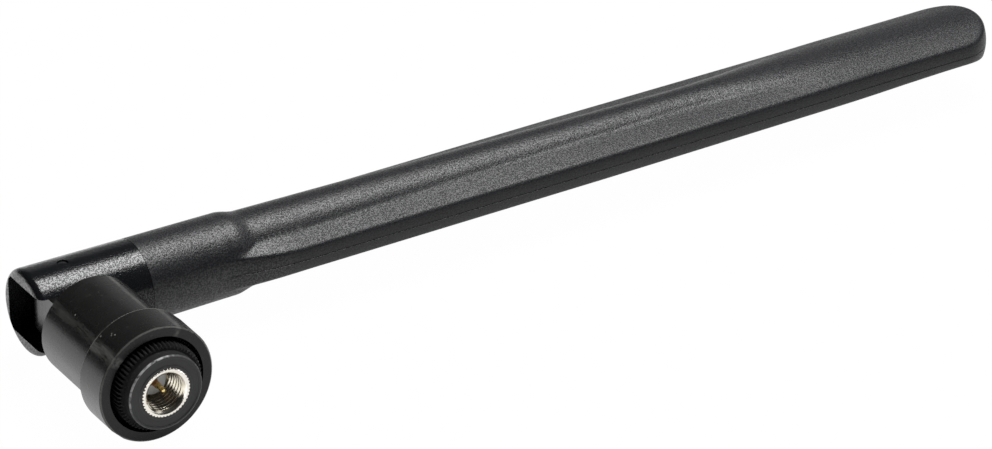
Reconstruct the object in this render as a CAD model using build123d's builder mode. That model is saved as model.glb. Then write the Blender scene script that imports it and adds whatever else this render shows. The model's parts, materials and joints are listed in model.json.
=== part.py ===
from build123d import *
import os
from itertools import product
from math import asin, atan2, cos, hypot, pi, radians, sin, sqrt

# Whip antenna with a screw-on coaxial plug, in millimetres.
# The plug's axis is Y and it points along -Y. The blade lies along +X, folded square to the plug.
# The origin is where the plug's axis meets its reference plane, the face that the mating socket meets.
# Lengths along the plug run back from the reference plane, and those along the blade out from the hinge.

# Clearances
SNUG = 0.02
SLIDING = 0.05
RUNNING = 0.07
SIDE_GAP = 0.1
FREE_GAP = 0.3
CABLE_GAP = 0.4

# Plug
THREAD_CREST_RADIUS = 2.87
SOCKET_WALL = 0.59
TUBE_WALL = 0.23
TUBE_LENGTH = 2.4
CONTACT_RADIUS = 0.455
CONTACT_REACH = 3.0
CONTACT_POINT = 0.45
CONTACT_POINT_STEP = 0.23
CONTACT_SHANK_STEP = 0.18
CONTACT_SET_IN = 0.8
INSULATOR_LENGTH = 9.8
SEAT_STEP = 0.18
SEAT_LENGTH = 2.0
FLANGE_STEP = 1.35
FLANGE_THICKNESS = 0.9
STEM_WALL = 1.05
STEM_END_LENGTH = 4.6
TAIL_WALL = 0.55
TAIL_LENGTH = 2.8
FERRULE_WALL = 0.45

# Coupling nut
NUT_LENGTH = 8.0
NUT_WALL = 0.45
NUT_MOUTH_CHAMFER = 0.52
NUT_BACK_GAP = 0.15
NOSE_WALL = 2.0
NOSE_ROUND = 0.25
NOSE_SET_BACK = 0.05
NOSE_DISH = 0.12
NOSE_RIM_WIDTH = 0.4
NOSE_HUB_WIDTH = 0.35
BAND_STEP = 1.25
BAND_SET_BACK = 0.4
BAND_TEETH = 64
BAND_TOOTH_DEPTH = 0.35

# Rings and seals
NUT_RING_WIDTH = 0.5
NUT_RING_WALL = 0.76
SWIVEL_RING_WIDTH = 0.6
SWIVEL_RING_WALL = 0.93
SWIVEL_RING_INSET = 0.6
RING_GROOVE_DEPTH = 0.5
RING_MOUTH = 1.2
WASHER_THICKNESS = 0.26
GASKET_THICKNESS = 0.65
GASKET_WALL = 0.45

# Knuckle
COLLAR_WALL = 1.6
COLLAR_LENGTH = 6.2
COLLAR_FLAT_DEPTH = 0.09
COLLAR_EDGE = 0.25
COLLAR_STEP = 1.3
BARREL_FLAT_DEPTH = 0.08
BARREL_END_WALL = 1.6
RECESS_GAP = 0.45
TONGUE_HALF_WIDTH = 4.4
TONGUE_HALF_HEIGHT = 4.3
TONGUE_EDGE = 0.8
SLOT_END_WALL = 1.3
SLOT_SIDE_WALL = 3.1

# Hinge housing and pin
HOUSING_RADIUS = 6.5
HOUSING_SWELL = 0.2
HOUSING_END = 6.6
HOUSING_END_ROUND = 1.1
HOUSING_SHOULDER = 11.5
CAVITY_BACK_GAP = 0.4
SWING_GAP = 0.107
SPIGOT_LENGTH = 7.0
SPIGOT_EDGE = 0.4
PIN_RADIUS = 0.85
PIN_SUNK = 0.25

# Radome
NECK_WALL = 1.55
NECK_LENGTH = 12.5
NECK_DRAFT = 0.08
WAIST_DEPTH = 0.78
WAIST_LENGTH = 9.0
WAIST_OVERLAP = 0.06
BLADE_ROOT_LENGTH = 10.5
BLADE_ROOT_SET_IN = 2.5
FLANGE_OVERHANG_AT_ROOT = 0.38
FLANGE_OVERHANG = 1.68
SIDE_HALF_HEIGHT_AT_ROOT = 2.1
SIDE_HALF_HEIGHT_AT_TIP = 2.0
EDGE_ROUND = 0.9
CREST_AT_TIP = 3.4
CROWN_START = 115.0
CROWN_END = 150.0
CROWN_RADIUS_AT_TIP = 11.0
VALLEY_RADIUS = 2.0
VALLEY_TURN_AT_ROOT = 3.5
VALLEY_TURN_AT_TIP = 1.0
VALLEY_TURN_END = 92.0
TIP_LENGTH = 14.9
TIP_END_LENGTH = 5.4
UPRIGHT = 0.01
BORE_STEP = 0.75
BORE_RADIUS_AT_TIP = 1.3
BORE_END_WALL = 18.0

# Radiator inside the radome
CABLE_RADIUS = 0.9
CABLE_SET_IN = 0.4
CABLE_STUB = 2.0
CHOKE_GAP = 1.5
CHOKE_LENGTH = 28.0
CHOKE_RADIUS = 2.5
CHOKE_WALL = 0.3
CHOKE_END_WALL = 0.8
JOINT_SLEEVE_WALL = 0.3
JOINT_SLEEVE_LENGTH = 8.0
WIRE_RADIUS = 0.4
WIRE_END_GAP = 6.0
COIL_GAP = 9.0
COIL_PITCH = 3.12
COIL_TURNS = 5
COIL_RADIUS = 1.5
SPACER_LENGTH = 4.0
ROOT_SPACER_GAP = 2.0
TIP_SPACER_GAP = 3.0

# Radii about the plug's axis
cable_hole_radius = CABLE_RADIUS + SLIDING
shank_radius = CONTACT_RADIUS + CONTACT_SHANK_STEP
tube_radius = THREAD_CREST_RADIUS - SOCKET_WALL
insulator_radius = tube_radius - TUBE_WALL
seat_radius = THREAD_CREST_RADIUS + SEAT_STEP
flange_radius = seat_radius + FLANGE_STEP
stem_radius = insulator_radius + STEM_WALL
tail_radius = cable_hole_radius + TAIL_WALL
ferrule_radius = tail_radius + SNUG + FERRULE_WALL
nut_ring_inner = seat_radius - RING_GROOVE_DEPTH + RUNNING
nut_ring_outer = nut_ring_inner + NUT_RING_WALL
nut_groove_radius = nut_ring_outer + RUNNING
nut_radius = nut_groove_radius + NUT_WALL
swivel_ring_inner = stem_radius - RING_GROOVE_DEPTH + RUNNING
swivel_ring_outer = swivel_ring_inner + SWIVEL_RING_WALL
nose_radius = nut_radius + NOSE_WALL
band_radius = nose_radius + BAND_STEP
recess_radius = band_radius + RECESS_GAP
collar_radius = recess_radius + COLLAR_WALL
barrel_radius = collar_radius - COLLAR_STEP

# Places along the plug's axis
seat_back = TUBE_LENGTH + SEAT_LENGTH
flange_back = seat_back + FLANGE_THICKNESS
stem_back = INSULATOR_LENGTH + STEM_END_LENGTH
tail_back = stem_back + TAIL_LENGTH
nut_groove_front = TUBE_LENGTH + (SEAT_LENGTH - NUT_RING_WIDTH) / 2 - SLIDING
nut_groove_back = nut_groove_front + NUT_RING_WIDTH + 2 * SLIDING
swivel_groove_back = stem_back - SWIVEL_RING_INSET
swivel_groove_front = swivel_groove_back - SWIVEL_RING_WIDTH - 2 * SLIDING
nut_back = seat_back - NUT_BACK_GAP
nut_front = nut_back - NUT_LENGTH
thread_back = TUBE_LENGTH - GASKET_THICKNESS
nose_front = nut_front + NOSE_SET_BACK
recess_floor = flange_back + WASHER_THICKNESS + 2 * SNUG
collar_back = recess_floor - FREE_GAP
collar_front = collar_back - COLLAR_LENGTH
band_front = collar_front + BAND_SET_BACK
band_back = nut_back - NUT_BACK_GAP
chamber_back = tail_back + FREE_GAP
barrel_back = chamber_back + BARREL_END_WALL
slot_front = barrel_back + SLOT_END_WALL

# The barrel stands just clear of the circle that the housing's cheeks sweep round the hinge
cavity_half_height = TONGUE_HALF_HEIGHT + SIDE_GAP
housing_end_radius = HOUSING_RADIUS + HOUSING_SWELL
cheek_corner_cut = HOUSING_END_ROUND * (1 - cos(radians(45)))
cheek_corner_along = HOUSING_END - cheek_corner_cut
cheek_corner_across = sqrt((housing_end_radius - cheek_corner_cut) ** 2 - cavity_half_height**2)
hinge_y = barrel_back + hypot(cheek_corner_along, cheek_corner_across) + SWING_GAP

# Places along the blade
cavity_back = TONGUE_HALF_WIDTH + CAVITY_BACK_GAP
cavity_side = TONGUE_HALF_WIDTH + FREE_GAP
spigot_end = HOUSING_SHOULDER + SPIGOT_LENGTH
neck_end = HOUSING_SHOULDER + NECK_LENGTH
waist_end = neck_end + WAIST_LENGTH
root_start = neck_end + BLADE_ROOT_SET_IN
root_end = root_start + BLADE_ROOT_LENGTH
blade_tip = CROWN_END + TIP_LENGTH
bore_end = CROWN_END - BORE_END_WALL
choke_start = spigot_end + CHOKE_GAP
choke_end = choke_start + CHOKE_LENGTH
cable_end = choke_end + CABLE_STUB
joint_sleeve_end = choke_end + SLIDING + JOINT_SLEEVE_LENGTH
root_spacer_start = joint_sleeve_end + ROOT_SPACER_GAP
coil_start = root_spacer_start + SPACER_LENGTH + COIL_GAP
coil_end = coil_start + COIL_TURNS * COIL_PITCH
wire_end = bore_end - WIRE_END_GAP
tip_spacer_end = wire_end - TIP_SPACER_GAP

# Radii about the blade's axis
seat_bore_radius = HOUSING_RADIUS - NECK_WALL
spigot_radius = seat_bore_radius - SLIDING
crest_radius = HOUSING_RADIUS - WAIST_DEPTH
blade_half_width = crest_radius + FLANGE_OVERHANG

plug_axis = Axis.Y
blade_axis = Axis((0, hinge_y, 0), (1, 0, 0))
hinge_plane = Plane((0, hinge_y, 0), x_dir=(1, 0, 0), z_dir=(0, 0, 1))

os.makedirs("parts", exist_ok=True)


def across_plug(y):
    """Plane square to the plug's axis at y, facing the plug's mouth, with X to the right and Z up."""
    return Plane((0, y, 0), x_dir=(1, 0, 0), z_dir=(0, -1, 0))


def across_blade(x):
    """Plane square to the blade at x, facing the tip, with Y to the right and Z up."""
    return Plane((x, hinge_y, 0), x_dir=(0, 1, 0), z_dir=(1, 0, 0))


# Turned body of the plug: front tube, nut seat, flange, swivel stem and crimp tail
with BuildPart() as connector_body:
    with BuildSketch(Plane.XY):
        with BuildLine():
            Polyline(
                (insulator_radius, 0),
                (tube_radius, 0),
                (tube_radius, TUBE_LENGTH),
                (seat_radius, TUBE_LENGTH),
                (seat_radius, nut_groove_front),
                (seat_radius - RING_GROOVE_DEPTH, nut_groove_front),
                (seat_radius - RING_GROOVE_DEPTH, nut_groove_back),
                (seat_radius, nut_groove_back),
                (seat_radius, seat_back),
                (flange_radius, seat_back),
                (flange_radius, flange_back),
                (stem_radius, flange_back),
                (stem_radius, swivel_groove_front),
                (stem_radius - RING_GROOVE_DEPTH, swivel_groove_front),
                (stem_radius - RING_GROOVE_DEPTH, swivel_groove_back),
                (stem_radius, swivel_groove_back),
                (stem_radius, stem_back),
                (tail_radius, stem_back),
                (tail_radius, tail_back),
                (cable_hole_radius, tail_back),
                (cable_hole_radius, INSULATOR_LENGTH),
                (insulator_radius, INSULATOR_LENGTH),
                close=True,
            )
        make_face()
    revolve(axis=plug_axis)
connector_body.part.label = "connector_body"
export_step(connector_body.part, "parts/connector_body.step")

# White insulator round the centre contact, flush with the reference plane
with BuildPart() as insulator:
    with BuildSketch(across_plug(INSULATOR_LENGTH)):
        Circle(insulator_radius - SNUG)
        Circle(shank_radius + SNUG, mode=Mode.SUBTRACT)
    extrude(amount=INSULATOR_LENGTH)
insulator.part.label = "insulator"
export_step(insulator.part, "parts/insulator.step")

# Centre contact: a stout shank in the insulator and a gold-plated pin with a blunt point
with BuildPart() as centre_contact:
    with BuildSketch(Plane.XY):
        with BuildLine():
            Polyline(
                (0, -CONTACT_REACH),
                (CONTACT_RADIUS - CONTACT_POINT_STEP, -CONTACT_REACH),
                (CONTACT_RADIUS, CONTACT_POINT - CONTACT_REACH),
                (CONTACT_RADIUS, 0),
                (shank_radius, 0),
                (shank_radius, INSULATOR_LENGTH - CONTACT_SET_IN),
                (0, INSULATOR_LENGTH - CONTACT_SET_IN),
                close=True,
            )
        make_face()
    revolve(axis=plug_axis)
centre_contact.part.label = "centre_contact"
export_step(centre_contact.part, "parts/centre_contact.step")

# Ferrule crimped over the cable's braid on the body's tail
with BuildPart() as crimp_ferrule:
    with BuildSketch(across_plug(tail_back)):
        Circle(ferrule_radius)
        Circle(tail_radius + SNUG, mode=Mode.SUBTRACT)
    extrude(amount=TAIL_LENGTH - SLIDING)
crimp_ferrule.part.label = "crimp_ferrule"
export_step(crimp_ferrule.part, "parts/crimp_ferrule.step")

# Feed cable from the insulator to the knuckle's slot
with BuildPart() as feed_cable:
    with BuildSketch(across_plug(slot_front)):
        Circle(CABLE_RADIUS)
    extrude(amount=slot_front - INSULATOR_LENGTH - SLIDING)
feed_cable.part.label = "feed_cable"
export_step(feed_cable.part, "parts/feed_cable.step")

# Split ring that holds the nut on its seat
with BuildPart() as nut_ring:
    with BuildSketch(across_plug(nut_groove_back - SLIDING)):
        Circle(nut_ring_outer)
        Circle(nut_ring_inner, mode=Mode.SUBTRACT)
        with Locations((0, nut_ring_outer)):
            Rectangle(RING_MOUTH, nut_ring_outer, mode=Mode.SUBTRACT)
    extrude(amount=NUT_RING_WIDTH)
nut_ring.part.label = "nut_ring"
export_step(nut_ring.part, "parts/nut_ring.step")

# Split ring that holds the stem in the knuckle and lets it swivel
with BuildPart() as swivel_ring:
    with BuildSketch(across_plug(swivel_groove_back - SLIDING)):
        Circle(swivel_ring_outer)
        Circle(swivel_ring_inner, mode=Mode.SUBTRACT)
        with Locations((0, swivel_ring_outer)):
            Rectangle(RING_MOUTH, swivel_ring_outer, mode=Mode.SUBTRACT)
    extrude(amount=SWIVEL_RING_WIDTH)
swivel_ring.part.label = "swivel_ring"
export_step(swivel_ring.part, "parts/swivel_ring.step")

# Washer between the flange and the knuckle, which gives the swivel its drag
with BuildPart() as swivel_washer:
    with BuildSketch(across_plug(recess_floor - SNUG)):
        Circle(flange_radius)
        Circle(stem_radius + RUNNING, mode=Mode.SUBTRACT)
    extrude(amount=WASHER_THICKNESS)
swivel_washer.part.label = "swivel_washer"
export_step(swivel_washer.part, "parts/swivel_washer.step")

# Rubber ring that seals the screwed joint, on the shoulder behind the front tube
with BuildPart() as face_gasket:
    with BuildSketch(across_plug(TUBE_LENGTH)):
        Circle(tube_radius + SNUG + GASKET_WALL)
        Circle(tube_radius + SNUG, mode=Mode.SUBTRACT)
    extrude(amount=GASKET_THICKNESS)
face_gasket.part.label = "face_gasket"
export_step(face_gasket.part, "parts/face_gasket.step")

# Metal insert of the coupling nut, bored to the thread's crests
nut_bore_radius = seat_radius + RUNNING
with BuildPart() as nut_insert:
    with BuildSketch(Plane.XY):
        with BuildLine():
            Polyline(
                (THREAD_CREST_RADIUS + NUT_MOUTH_CHAMFER, nut_front),
                (nut_radius, nut_front),
                (nut_radius, nut_back),
                (nut_bore_radius, nut_back),
                (nut_bore_radius, nut_groove_back + SLIDING),
                (nut_groove_radius, nut_groove_back + SLIDING),
                (nut_groove_radius, nut_groove_front - SLIDING),
                (nut_bore_radius, nut_groove_front - SLIDING),
                (nut_bore_radius, thread_back),
                (THREAD_CREST_RADIUS, thread_back),
                (THREAD_CREST_RADIUS, nut_front + NUT_MOUTH_CHAMFER),
                close=True,
            )
        make_face()
    revolve(axis=plug_axis)
nut_insert.part.label = "nut_insert"
export_step(nut_insert.part, "parts/nut_insert.step")

# Grip moulded round the insert: a nose with a dished face, and a toothed band inside the collar.
# Each tooth is a flat crest between two sloped flanks, given as shares of the pitch.
TOOTH_SHAPE = ((0.0, 0.0), (0.3, 0.0), (0.65, 1.0))
tooth_pitch = 2 * pi / BAND_TEETH
band_outline = []
for tooth in range(BAND_TEETH):
    for share, depth in TOOTH_SHAPE:
        angle = (tooth + share) * tooth_pitch
        radius = band_radius - depth * BAND_TOOTH_DEPTH
        band_outline.append((radius * cos(angle), radius * sin(angle)))
with BuildPart() as nut_grip:
    with BuildSketch(across_plug(band_back)):
        with BuildLine():
            Polyline(*band_outline, close=True)
        make_face()
    extrude(amount=band_back - band_front)
    with BuildSketch(Plane.XY):
        with BuildLine():
            Polyline(
                (0, band_back),
                (nose_radius, band_back),
                (nose_radius, nose_front + NOSE_ROUND),
                (nose_radius - NOSE_ROUND, nose_front),
                (nose_radius - NOSE_RIM_WIDTH, nose_front),
                (nose_radius - NOSE_RIM_WIDTH - NOSE_DISH, nose_front + NOSE_DISH),
                (nut_radius + NOSE_HUB_WIDTH + NOSE_DISH, nose_front + NOSE_DISH),
                (nut_radius + NOSE_HUB_WIDTH, nose_front),
                (0, nose_front),
                close=True,
            )
        make_face()
    revolve(axis=plug_axis)
    with BuildSketch(across_plug(band_back)):
        Circle(nut_radius + SNUG)
    extrude(amount=band_back - nose_front, mode=Mode.SUBTRACT)
nut_grip.part.label = "nut_grip"
export_step(nut_grip.part, "parts/nut_grip.step")

# Knuckle: a barrel and a collar with four shallow moulded flats each, and a tongue for the hinge
with BuildPart() as knuckle:
    with BuildSketch(across_plug(collar_back)):
        Circle(collar_radius)
    extrude(amount=COLLAR_LENGTH)
    chamfer(edges().filter_by(GeomType.CIRCLE), COLLAR_EDGE)
    with BuildSketch(across_plug(barrel_back)):
        Circle(barrel_radius)
    extrude(amount=barrel_back - collar_back)
    for flats_back, flats_length, flats_radius in (
        (barrel_back, barrel_back - collar_back, barrel_radius - BARREL_FLAT_DEPTH),
        (collar_back, COLLAR_LENGTH, collar_radius - COLLAR_FLAT_DEPTH),
    ):
        with BuildSketch(across_plug(flats_back)):
            Circle(2 * flats_radius)
            Rectangle(2 * flats_radius, 2 * flats_radius, rotation=45, mode=Mode.SUBTRACT)
        extrude(amount=flats_length, mode=Mode.SUBTRACT)
    with BuildSketch(across_plug(recess_floor)):
        Circle(recess_radius)
    extrude(amount=recess_floor - collar_front, mode=Mode.SUBTRACT)
    # The tongue reaches a little into the barrel and ends round, about the hinge
    with BuildSketch(hinge_plane):
        Circle(TONGUE_HALF_WIDTH)
        with Locations((0, barrel_back - BARREL_END_WALL - hinge_y)):
            tongue_length = hinge_y - barrel_back + BARREL_END_WALL
            Rectangle(2 * TONGUE_HALF_WIDTH, tongue_length, align=(Align.CENTER, Align.MIN))
    extrude(amount=TONGUE_HALF_HEIGHT, both=True)
    tongue_faces = faces().filter_by(Axis.Z).filter_by_position(
        Axis.Y, barrel_back, hinge_y + TONGUE_HALF_WIDTH
    )
    tongue_rims = tongue_faces.edges().filter_by_position(
        Axis.Y, barrel_back, hinge_y + TONGUE_HALF_WIDTH, inclusive=(False, True)
    )
    chamfer(tongue_rims, TONGUE_EDGE)
    # Slot for the cable, open towards the blade in both of its end positions
    with BuildSketch(hinge_plane):
        with Locations((SLOT_SIDE_WALL - TONGUE_HALF_WIDTH, slot_front - hinge_y)):
            slot_length = hinge_y - slot_front + 2 * TONGUE_HALF_WIDTH
            Rectangle(2 * TONGUE_HALF_WIDTH, slot_length, align=(Align.MIN, Align.MIN))
    extrude(amount=CABLE_RADIUS + CABLE_GAP, both=True, mode=Mode.SUBTRACT)
    with BuildSketch(hinge_plane):
        Circle(PIN_RADIUS + RUNNING)
    extrude(amount=TONGUE_HALF_HEIGHT, both=True, mode=Mode.SUBTRACT)
    # Bore for the stem and its ring, chamber for the ferrule, and channel for the cable
    with BuildSketch(Plane.XY):
        with BuildLine():
            Polyline(
                (0, recess_floor),
                (stem_radius + RUNNING, recess_floor),
                (stem_radius + RUNNING, swivel_groove_front - SLIDING),
                (swivel_ring_outer + RUNNING, swivel_groove_front - SLIDING),
                (swivel_ring_outer + RUNNING, swivel_groove_back + SLIDING),
                (stem_radius + RUNNING, swivel_groove_back + SLIDING),
                (stem_radius + RUNNING, stem_back + FREE_GAP),
                (ferrule_radius + FREE_GAP, stem_back + FREE_GAP),
                (ferrule_radius + FREE_GAP, chamber_back),
                (CABLE_RADIUS + FREE_GAP, chamber_back),
                (CABLE_RADIUS + FREE_GAP, slot_front),
                (0, slot_front),
                close=True,
            )
        make_face()
    revolve(axis=plug_axis, mode=Mode.SUBTRACT)
knuckle.part.label = "knuckle"
export_step(knuckle.part, "parts/knuckle.step")

# Hinge housing: a slightly tapered barrel cut open at its end and front, with a spigot for the radome
with BuildPart() as hinge_housing:
    with BuildSketch(hinge_plane):
        with BuildLine():
            Polyline(
                (-HOUSING_END, 0),
                (-HOUSING_END, housing_end_radius),
                (HOUSING_SHOULDER, HOUSING_RADIUS),
                (HOUSING_SHOULDER, 0),
                close=True,
            )
        make_face()
    revolve(axis=blade_axis)
    fillet(faces().sort_by(Axis.X)[0].edges(), HOUSING_END_ROUND)
    with BuildSketch(across_blade(HOUSING_SHOULDER)):
        Circle(spigot_radius)
    extrude(amount=SPIGOT_LENGTH)
    chamfer(faces().sort_by(Axis.X)[-1].edges(), SPIGOT_EDGE)
    # Cavity for the tongue, with its inner corners cut as the tongue's rims are
    with BuildSketch(across_blade(-HOUSING_END)):
        with BuildLine():
            Polyline(
                (-housing_end_radius, -cavity_half_height),
                (cavity_back - TONGUE_EDGE, -cavity_half_height),
                (cavity_back, TONGUE_EDGE - cavity_half_height),
                (cavity_back, cavity_half_height - TONGUE_EDGE),
                (cavity_back - TONGUE_EDGE, cavity_half_height),
                (-housing_end_radius, cavity_half_height),
                close=True,
            )
        make_face()
    extrude(amount=HOUSING_END + cavity_side, mode=Mode.SUBTRACT)
    with BuildSketch(across_blade(cavity_side)):
        Circle(CABLE_RADIUS + CABLE_GAP)
    extrude(until=Until.LAST, mode=Mode.SUBTRACT)
    with BuildSketch(hinge_plane):
        Circle(PIN_RADIUS + SNUG)
    extrude(amount=housing_end_radius, both=True, mode=Mode.SUBTRACT)
hinge_housing.part.label = "hinge_housing"
export_step(hinge_housing.part, "parts/hinge_housing.step")

# Hinge pin, pressed through the housing's cheeks and sunk a little below their surface
with BuildPart() as hinge_pin:
    with BuildSketch(hinge_plane):
        Circle(PIN_RADIUS)
    extrude(amount=HOUSING_RADIUS - PIN_SUNK, both=True)
hinge_pin.part.label = "hinge_pin"
export_step(hinge_pin.part, "parts/hinge_pin.step")


def share_between(start, end, x):
    """How far x lies from start to end, held between 0 and 1."""
    return min(max((x - start) / (end - start), 0.0), 1.0)


def smooth_share(start, end, x):
    """As share_between, with level ends."""
    share = share_between(start, end, x)
    return share * share * (3 - 2 * share)


def side_wall_place(x):
    """Distance of the blade's side wall from its axis: it leaves the neck and swells over the root."""
    swell = (FLANGE_OVERHANG - FLANGE_OVERHANG_AT_ROOT) * smooth_share(root_start, root_end, x)
    return crest_radius + FLANGE_OVERHANG_AT_ROOT + swell


def side_half_height(x):
    """Half the height of the blade's side wall, which thins towards the tip."""
    thinning = (SIDE_HALF_HEIGHT_AT_ROOT - SIDE_HALF_HEIGHT_AT_TIP) * share_between(root_end, CROWN_END, x)
    return SIDE_HALF_HEIGHT_AT_ROOT - thinning


def crest_height(x):
    """Height of the barrel's crest over the blade's axis, which falls evenly from the waist to the tip."""
    return crest_radius - (crest_radius - CREST_AT_TIP) * share_between(waist_end, blade_tip, x)


def crown_radius(x):
    """Radius of the barrel's rounding: that of the barrel itself, and a flatter crown near the tip."""
    crest = crest_height(x)
    return crest + (CROWN_RADIUS_AT_TIP - crest) * smooth_share(CROWN_START, CROWN_END, x)


def valley_turn(x):
    """Angle in degrees by which the flange's slope falls short of the barrel's tangent."""
    fade = share_between(root_end, VALLEY_TURN_END, x)
    return VALLEY_TURN_AT_ROOT + (VALLEY_TURN_AT_TIP - VALLEY_TURN_AT_ROOT) * fade


def blade_section(x, running_out=False):
    """Face across the blade: barrel crests, valleys, sloped flanges, rounded edges and side walls.

    Where it is running out, the slopes go on past the side walls, to be trimmed to the tip's outline.
    """
    side = side_wall_place(x)
    crest = crest_height(x)
    crown = crown_radius(x)
    crown_centre = Vector(0, crest - crown)
    edge_centre = Vector(side - EDGE_ROUND, side_half_height(x) - EDGE_ROUND)
    # The slope is that of the line tangent to the edge's arc and the barrel, less the valley's turn
    to_edge = edge_centre - crown_centre
    tangent = asin((crown - EDGE_ROUND) / to_edge.length) - atan2(to_edge.Y, to_edge.X)
    slope = max(tangent - radians(valley_turn(x)), 0.0)
    normal = Vector(sin(slope), cos(slope))
    down_slope = Vector(cos(slope), -sin(slope))
    # The valley's arc is tangent to the slope from above and to the barrel from outside
    height = to_edge.dot(normal) + EDGE_ROUND + VALLEY_RADIUS
    reach = crown + VALLEY_RADIUS
    to_valley = normal * height + down_slope * sqrt(reach**2 - height**2)
    valley_centre = crown_centre + to_valley
    to_barrel = to_valley.normalized()
    valley_start = valley_centre - normal * VALLEY_RADIUS
    valley_middle = valley_centre - (normal + to_barrel).normalized() * VALLEY_RADIUS
    valley_end = crown_centre + to_barrel * crown
    edge_start = Vector(side, edge_centre.Y)
    edge_middle = edge_centre + (normal + Vector(1, 0)).normalized() * EDGE_ROUND
    edge_end = edge_centre + normal * EDGE_ROUND
    slope_end = edge_end + down_slope * 2 * EDGE_ROUND
    if running_out:
        edge_start = slope_end
    quarter = (edge_start, edge_middle, edge_end, valley_start, valley_middle, valley_end)
    with BuildSketch(across_blade(x)) as section:
        with BuildLine():
            for across, up in product((1, -1), repeat=2):
                corners = [(across * point.X, up * point.Y) for point in quarter]
                if running_out:
                    Line(corners[0], corners[3])
                else:
                    ThreePointArc(*corners[:3])
                    Line(corners[2], corners[3])
                ThreePointArc(*corners[3:])
            for sign in (1, -1):
                Line((sign * edge_start.X, -edge_start.Y), (sign * edge_start.X, edge_start.Y))
                crest_start = (-valley_end.X, sign * valley_end.Y)
                crest_end = (valley_end.X, sign * valley_end.Y)
                ThreePointArc(crest_start, (0, sign * crest), crest_end)
        make_face()
    return section.sketch


def bore_radius(x):
    """Radius of the radome's tapered bore at x."""
    root_radius = seat_bore_radius - BORE_STEP
    return root_radius + (BORE_RADIUS_AT_TIP - root_radius) * share_between(spigot_end, bore_end, x)


# Radome: a round neck with a waist, a lofted blade with a barrel and sloped flanges, and a rounded tip.
# The barrel falls evenly from the waist to the tip, where it widens into a crown.
ROOT_SECTIONS = 4
BLADE_SECTIONS = 8
root_places = [root_start + BLADE_ROOT_LENGTH * step / ROOT_SECTIONS for step in range(ROOT_SECTIONS + 1)]
blade_length = CROWN_END - root_end
blade_places = [root_end + blade_length * step / BLADE_SECTIONS for step in range(BLADE_SECTIONS + 1)]
waist_radius = crest_radius - WAIST_OVERLAP
with BuildPart() as radome:
    loft(sections=[blade_section(x, running_out=True) for x in (CROWN_END, blade_tip)])
    with BuildSketch(hinge_plane.offset(-HOUSING_RADIUS)):
        tip_centre = blade_tip - TIP_END_LENGTH
        with Locations((tip_centre, 0)):
            Ellipse(TIP_END_LENGTH, blade_half_width)
        with Locations((CROWN_END, 0)):
            Rectangle(tip_centre - CROWN_END, 2 * blade_half_width, align=(Align.MIN, Align.CENTER))
    extrude(amount=2 * HOUSING_RADIUS, mode=Mode.INTERSECT)
    tip_walls = faces().filter_by(lambda face: abs(face.normal_at().Z) < UPRIGHT)
    tip_rims = tip_walls.edges().filter_by(Axis.Z, reverse=True).filter_by_position(
        Axis.X, CROWN_END, blade_tip, inclusive=(False, True)
    )
    fillet(tip_rims, EDGE_ROUND)
    loft(sections=[blade_section(x) for x in root_places])
    loft(sections=[blade_section(x) for x in blade_places])
    with BuildSketch(hinge_plane):
        with BuildLine():
            Polyline(
                (waist_end, waist_radius),
                (waist_end, 0),
                (HOUSING_SHOULDER, 0),
                (HOUSING_SHOULDER, HOUSING_RADIUS),
                (neck_end, HOUSING_RADIUS - NECK_DRAFT),
            )
            Spline(
                (neck_end, HOUSING_RADIUS - NECK_DRAFT),
                (waist_end, waist_radius),
                tangents=((1, 0), (1, 0)),
            )
        make_face()
    revolve(axis=blade_axis)
    with BuildSketch(hinge_plane):
        with BuildLine():
            Polyline(
                (HOUSING_SHOULDER, 0),
                (HOUSING_SHOULDER, seat_bore_radius),
                (spigot_end + SLIDING, seat_bore_radius),
                (spigot_end + SLIDING, bore_radius(spigot_end)),
                (bore_end, bore_radius(bore_end)),
                (bore_end, 0),
                close=True,
            )
        make_face()
    revolve(axis=blade_axis, mode=Mode.SUBTRACT)
radome.part.label = "radome"
export_step(radome.part, "parts/radome.step")

# Cable on the blade's side of the hinge, from the housing's bore to the end of the choke
with BuildPart() as whip_cable:
    with BuildSketch(across_blade(cavity_side + CABLE_SET_IN)):
        Circle(CABLE_RADIUS)
    extrude(amount=cable_end - cavity_side - CABLE_SET_IN)
whip_cable.part.label = "whip_cable"
export_step(whip_cable.part, "parts/whip_cable.step")

# Choke sleeve round the cable: a brass tube closed at its outer end
with BuildPart() as choke_sleeve:
    with BuildSketch(across_blade(choke_start)):
        Circle(CHOKE_RADIUS)
        Circle(CHOKE_RADIUS - CHOKE_WALL, mode=Mode.SUBTRACT)
    extrude(amount=CHOKE_LENGTH)
    with BuildSketch(across_blade(choke_end - CHOKE_END_WALL)):
        Circle(CHOKE_RADIUS)
        Circle(CABLE_RADIUS + SNUG, mode=Mode.SUBTRACT)
    extrude(amount=CHOKE_END_WALL)
choke_sleeve.part.label = "choke_sleeve"
export_step(choke_sleeve.part, "parts/choke_sleeve.step")

# Heat-shrink sleeve over the joint of cable and wire
with BuildPart() as joint_sleeve:
    with BuildSketch(across_blade(choke_end + SLIDING)):
        Circle(CABLE_RADIUS + SNUG + JOINT_SLEEVE_WALL)
        Circle(CABLE_RADIUS + SNUG, mode=Mode.SUBTRACT)
    extrude(amount=JOINT_SLEEVE_LENGTH)
joint_sleeve.part.label = "joint_sleeve"
export_step(joint_sleeve.part, "parts/joint_sleeve.step")

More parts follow.
